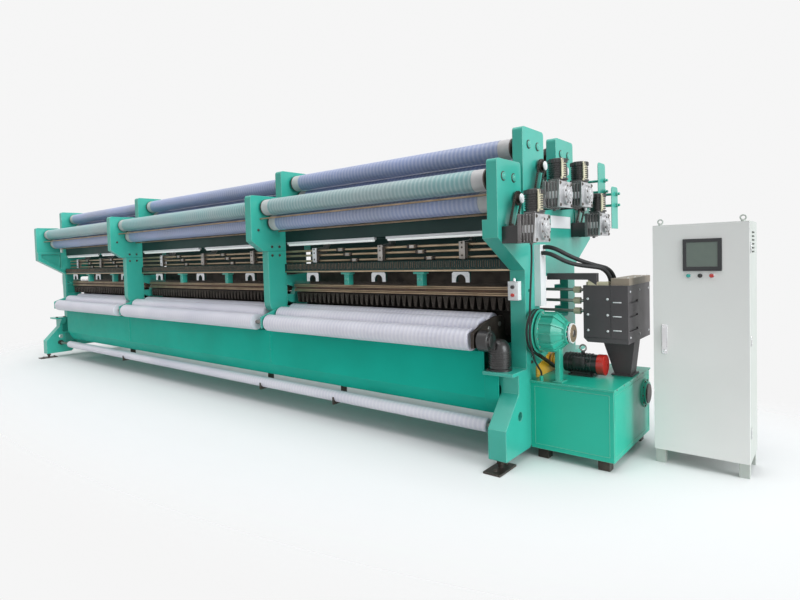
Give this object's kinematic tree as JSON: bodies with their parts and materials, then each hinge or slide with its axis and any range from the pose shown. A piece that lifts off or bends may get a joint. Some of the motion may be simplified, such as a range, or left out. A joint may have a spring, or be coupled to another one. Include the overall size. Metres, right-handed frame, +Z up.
{
  "type": "warp knitting machine",
  "caption": "Long raschel warp knitting machine with tape-wrapped feed rollers on four green frames, knitting bars, take-down rollers, chain feed drives and a separate control cabinet",
  "frame": {"origin": "centre of the whole machine's outline on the floor", "axes": "X along the machine to the drive end and cabinet, -Y the operator's side, Z up"},
  "size_m": [9.97, 1.92, 2.49],
  "materials": {
    "green_paint": "gloss enamel",
    "dark_green_paint": "gloss enamel",
    "roller_tape": "wound grip tape",
    "roller_cloth": "wound grip tape",
    "lamp_white": "lit diffuser",
    "needle_steel": "oiled steel",
    "needle_brown": "oiled brown",
    "bar_brass": "drawn bar",
    "rod_cream": "satin",
    "chain_black": "oiled",
    "gear_aluminium": "cast",
    "motor_black": "satin",
    "bracket_tan": "cast",
    "belt_rubber": "matte",
    "pulley_yellow": "gloss",
    "box_grey": "satin",
    "cabinet_white": "fine texture powder coat",
    "screen_dark": "moulded",
    "handle_chrome": "plated",
    "button_teal": "moulded",
    "button_red": "moulded",
    "box_white": "moulded"
  },
  "bodies": {
    "root": {"right_end_frame": "green_paint", "left_end_frame": "green_paint", "middle_frames": "green_paint", "bed_beam": "dark_green_paint", "bed_panel": "green_paint", "upper_beam": "dark_green_paint", "lamp_strips": "lamp_white", "yarn_comb": "dark_green_paint", "needle_bed": "needle_steel", "feed_chains": "chain_black", "feed_reducers": "gear_aluminium", "feed_motors": "motor_black", "takedown_gearmotor": "motor_black", "roller_brackets": "bracket_tan", "levelling_feet": "needle_steel", "oil_tank": "green_paint", "main_motor": "motor_black", "drive_belts": "belt_rubber", "clutch_housing": "dark_green_paint", "pattern_box": "box_grey", "cabinet_body": "cabinet_white", "chain_guards": "green_paint", "wiring_boxes": "box_white", "power_hose_1": "belt_rubber", "power_hose_2": "belt_rubber", "unit_cable": "belt_rubber"},
    "feed_roller_1": {"feed_roller_1": "roller_tape"},
    "feed_roller_2": {"feed_roller_2": "roller_tape"},
    "feed_roller_3": {"feed_roller_3": "roller_tape"},
    "feed_roller_4": {"feed_roller_4": "roller_tape"},
    "feed_roller_5": {"feed_roller_5": "roller_tape"},
    "feed_roller_6": {"feed_roller_6": "roller_tape"},
    "feed_roller_7": {"feed_roller_7": "roller_tape"},
    "feed_roller_8": {"feed_roller_8": "roller_tape"},
    "drive_wheel_1": {"drive_wheel_1": "needle_steel"},
    "drive_wheel_2": {"drive_wheel_2": "needle_steel"},
    "drive_wheel_3": {"drive_wheel_3": "needle_steel"},
    "drive_wheel_4": {"drive_wheel_4": "needle_steel"},
    "takedown_roller_1": {"takedown_roller_1": "roller_cloth"},
    "takedown_roller_2": {"takedown_roller_2": "roller_cloth"},
    "takedown_roller_3": {"takedown_roller_3": "roller_cloth"},
    "cloth_roller": {"cloth_roller": "roller_cloth"},
    "main_pulley": {"main_pulley": "dark_green_paint"},
    "motor_pulley": {"motor_pulley": "pulley_yellow"},
    "guide_swing": {"guide_swing": "needle_steel"},
    "guide_bar_1": {"guide_bar_1": "bar_brass"},
    "push_rod_1": {"push_rod_1": "rod_cream"},
    "guide_bar_2": {"guide_bar_2": "bar_brass"},
    "push_rod_2": {"push_rod_2": "rod_cream"},
    "guide_bar_3": {"guide_bar_3": "bar_brass"},
    "push_rod_3": {"push_rod_3": "rod_cream"},
    "needle_bar": {"needle_bar": "needle_brown"},
    "cabinet_door": {"cabinet_door": "cabinet_white", "screen_panel": "screen_dark"},
    "door_handle": {"door_handle": "handle_chrome"},
    "start_button": {"start_button": "button_teal"},
    "stop_button": {"stop_button": "button_red"},
    "mode_selector": {"mode_selector": "motor_black"},
    "station_start": {"station_start": "motor_black"},
    "station_stop": {"station_stop": "button_red"}
  },
  "joints": [
    {"name": "feed_roller_1_turn", "type": "hinge", "parent": "root", "child": "feed_roller_1", "pos_m": [-0.62, -0.74, 2.09], "axis": [1, 0, 0], "continuous": true},
    {"name": "feed_roller_2_turn", "type": "hinge", "parent": "root", "child": "feed_roller_2", "pos_m": [-0.62, -0.65, 1.94], "axis": [1, 0, 0], "continuous": true},
    {"name": "feed_roller_3_turn", "type": "hinge", "parent": "root", "child": "feed_roller_3", "pos_m": [-0.62, -0.315, 2.365], "axis": [1, 0, 0], "continuous": true},
    {"name": "feed_roller_4_turn", "type": "hinge", "parent": "root", "child": "feed_roller_4", "pos_m": [-0.62, -0.225, 2.215], "axis": [1, 0, 0], "continuous": true},
    {"name": "feed_roller_5_turn", "type": "hinge", "parent": "root", "child": "feed_roller_5", "pos_m": [-0.62, 0.315, 2.365], "axis": [1, 0, 0], "continuous": true},
    {"name": "feed_roller_6_turn", "type": "hinge", "parent": "root", "child": "feed_roller_6", "pos_m": [-0.62, 0.225, 2.215], "axis": [1, 0, 0], "continuous": true},
    {"name": "feed_roller_7_turn", "type": "hinge", "parent": "root", "child": "feed_roller_7", "pos_m": [-0.62, 0.74, 2.09], "axis": [1, 0, 0], "continuous": true},
    {"name": "feed_roller_8_turn", "type": "hinge", "parent": "root", "child": "feed_roller_8", "pos_m": [-0.62, 0.65, 1.94], "axis": [1, 0, 0], "continuous": true},
    {"name": "drive_wheel_1_turn", "type": "hinge", "parent": "root", "child": "drive_wheel_1", "pos_m": [3.681, -0.755, 1.715], "axis": [1, 0, 0], "continuous": true},
    {"name": "drive_wheel_2_turn", "type": "hinge", "parent": "root", "child": "drive_wheel_2", "pos_m": [3.681, -0.33, 1.97], "axis": [1, 0, 0], "continuous": true},
    {"name": "drive_wheel_3_turn", "type": "hinge", "parent": "root", "child": "drive_wheel_3", "pos_m": [3.681, 0.12, 1.995], "axis": [1, 0, 0], "continuous": true},
    {"name": "drive_wheel_4_turn", "type": "hinge", "parent": "root", "child": "drive_wheel_4", "pos_m": [3.681, 0.545, 1.77], "axis": [1, 0, 0], "continuous": true},
    {"name": "takedown_roller_1_turn", "type": "hinge", "parent": "root", "child": "takedown_roller_1", "pos_m": [-0.62, -0.78, 0.915], "axis": [1, 0, 0], "continuous": true},
    {"name": "takedown_roller_2_turn", "type": "hinge", "parent": "root", "child": "takedown_roller_2", "pos_m": [-0.62, -0.61, 0.98], "axis": [1, 0, 0], "continuous": true},
    {"name": "takedown_roller_3_turn", "type": "hinge", "parent": "root", "child": "takedown_roller_3", "pos_m": [-0.62, -0.44, 1], "axis": [1, 0, 0], "continuous": true},
    {"name": "cloth_roller_turn", "type": "hinge", "parent": "root", "child": "cloth_roller", "pos_m": [-0.62, -0.65, 0.247], "axis": [1, 0, 0], "continuous": true},
    {"name": "main_pulley_turn", "type": "hinge", "parent": "root", "child": "main_pulley", "pos_m": [3.705, -0.42, 0.96], "axis": [1, 0, 0], "continuous": true},
    {"name": "motor_pulley_turn", "type": "hinge", "parent": "root", "child": "motor_pulley", "pos_m": [3.705, -0.06, 0.68], "axis": [1, 0, 0], "continuous": true},
    {"name": "guide_swing_turn", "type": "hinge", "parent": "root", "child": "guide_swing", "pos_m": [-0.62, -0.25, 1.8], "axis": [1, 0, 0], "range_deg": [-4, 4]},
    {"name": "guide_bar_1_slide", "type": "slide", "parent": "guide_swing", "child": "guide_bar_1", "axis": [1, 0, 0], "range_m": [-0.02, 0.02]},
    {"name": "push_rod_1_slide", "type": "slide", "parent": "root", "child": "push_rod_1", "axis": [1, 0, 0], "range_m": [-0.02, 0.02]},
    {"name": "guide_bar_2_slide", "type": "slide", "parent": "guide_swing", "child": "guide_bar_2", "axis": [1, 0, 0], "range_m": [-0.02, 0.02]},
    {"name": "push_rod_2_slide", "type": "slide", "parent": "root", "child": "push_rod_2", "axis": [1, 0, 0], "range_m": [-0.02, 0.02]},
    {"name": "guide_bar_3_slide", "type": "slide", "parent": "guide_swing", "child": "guide_bar_3", "axis": [1, 0, 0], "range_m": [-0.02, 0.02]},
    {"name": "push_rod_3_slide", "type": "slide", "parent": "root", "child": "push_rod_3", "axis": [1, 0, 0], "range_m": [-0.02, 0.02]},
    {"name": "needle_bar_slide", "type": "slide", "parent": "root", "child": "needle_bar", "axis": [0, 0, 1], "range_m": [-0.008, 0.012]},
    {"name": "cabinet_door_turn", "type": "hinge", "parent": "root", "child": "cabinet_door", "pos_m": [4.985, -0.01485, 0.9], "axis": [0, 0, 1], "range_deg": [0, 110]},
    {"name": "door_handle_turn", "type": "hinge", "parent": "cabinet_door", "child": "door_handle", "pos_m": [4.483, -0.04, 0.864], "axis": [0, 1, 0], "range_deg": [0, 90]},
    {"name": "start_button_slide", "type": "slide", "parent": "cabinet_door", "child": "start_button", "axis": [0, 1, 0], "range_m": [0, 0.004], "stiffness_N_per_m": 900, "springref_m": -0.002},
    {"name": "stop_button_slide", "type": "slide", "parent": "cabinet_door", "child": "stop_button", "axis": [0, 1, 0], "range_m": [0, 0.004], "stiffness_N_per_m": 900, "springref_m": -0.002},
    {"name": "mode_selector_turn", "type": "hinge", "parent": "cabinet_door", "child": "mode_selector", "pos_m": [4.705, -0.04, 1.358], "axis": [0, 1, 0], "range_deg": [-45, 45]},
    {"name": "station_start_slide", "type": "slide", "parent": "root", "child": "station_start", "axis": [0, 1, 0], "range_m": [0, 0.004], "stiffness_N_per_m": 900, "springref_m": -0.002},
    {"name": "station_stop_slide", "type": "slide", "parent": "root", "child": "station_stop", "axis": [0, 1, 0], "range_m": [0, 0.004], "stiffness_N_per_m": 900, "springref_m": -0.002}
  ],
  "couplings": [
    {"joint": "drive_wheel_1_turn", "follows": "feed_roller_2_turn", "ratio": 1.125},
    {"joint": "drive_wheel_2_turn", "follows": "feed_roller_4_turn", "ratio": 1.125},
    {"joint": "drive_wheel_3_turn", "follows": "feed_roller_6_turn", "ratio": 1.125},
    {"joint": "drive_wheel_4_turn", "follows": "feed_roller_8_turn", "ratio": 1.125},
    {"joint": "takedown_roller_2_turn", "follows": "takedown_roller_1_turn", "ratio": -1},
    {"joint": "takedown_roller_3_turn", "follows": "takedown_roller_1_turn", "ratio": 1},
    {"joint": "motor_pulley_turn", "follows": "main_pulley_turn", "ratio": 2.75},
    {"joint": "push_rod_1_slide", "follows": "guide_bar_1_slide", "ratio": 1},
    {"joint": "push_rod_2_slide", "follows": "guide_bar_2_slide", "ratio": 1},
    {"joint": "push_rod_3_slide", "follows": "guide_bar_3_slide", "ratio": 1}
  ]
}
